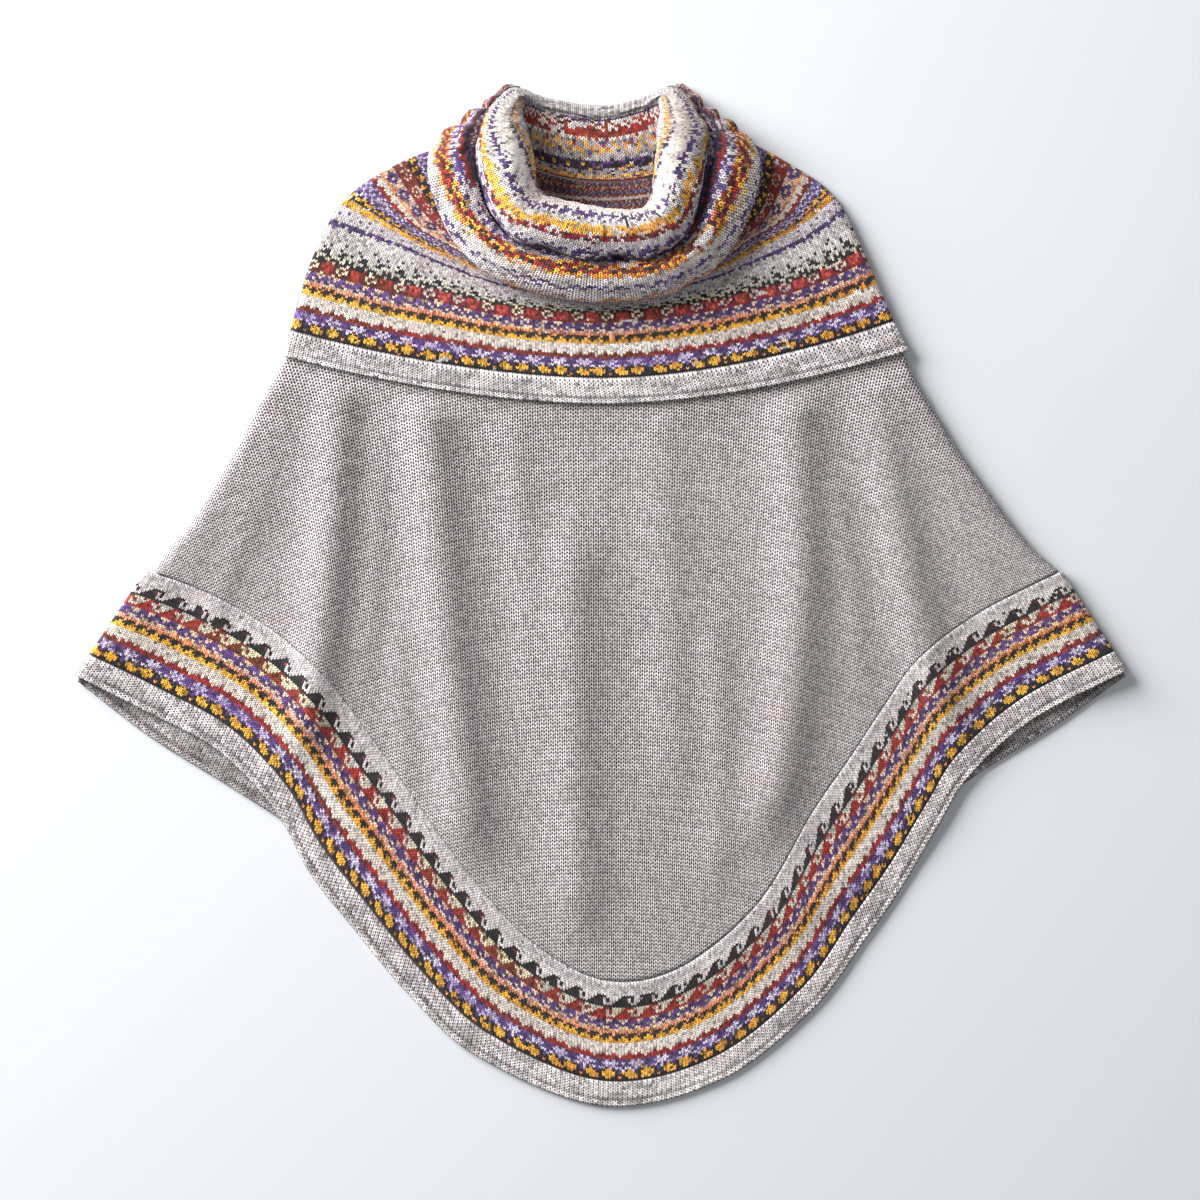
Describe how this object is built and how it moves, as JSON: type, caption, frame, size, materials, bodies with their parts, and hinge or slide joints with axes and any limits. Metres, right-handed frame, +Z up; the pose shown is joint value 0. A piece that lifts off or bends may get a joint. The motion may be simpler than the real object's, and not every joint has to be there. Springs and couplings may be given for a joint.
{
  "type": "knitted poncho sweater",
  "caption": "Knitted poncho sweater with a slouchy turned-over cowl, a patterned yoke cape over a plain body and a curved patterned hem, laid out flat.",
  "frame": {"origin": "on the surface that the garment lies on, below the middle of its bounding box", "axes": "+Z up from the surface, +Y from the hem to the collar, +X to the viewer's right as seen from above"},
  "size_m": [0.92, 0.8934, 0.0616],
  "materials": {
    "grey_knit": "fine plain knit in a grey melange wool, soft and matt",
    "pale_rib_knit": "fine ribbing in a pale grey melange wool",
    "hem_pattern_knit": "stranded colour knit in small repeats: purple, rust, yellow, cream and charcoal",
    "yoke_pattern_knit": "stranded colour knit in bands that run round the yoke",
    "collar_pattern_knit": "soft stranded colour knit, mostly pale with purple, rust and yellow rows"
  },
  "bodies": {
    "root": {"body_front": "grey_knit", "body_back": "grey_knit", "hem_band_front": "hem_pattern_knit", "hem_band_back": "hem_pattern_knit", "hem_rib_front": "pale_rib_knit", "hem_rib_back": "pale_rib_knit", "yoke_front": "yoke_pattern_knit", "yoke_back": "yoke_pattern_knit", "yoke_rib_front": "pale_rib_knit", "yoke_rib_back": "pale_rib_knit", "collar": "collar_pattern_knit"}
  },
  "joints": []
}
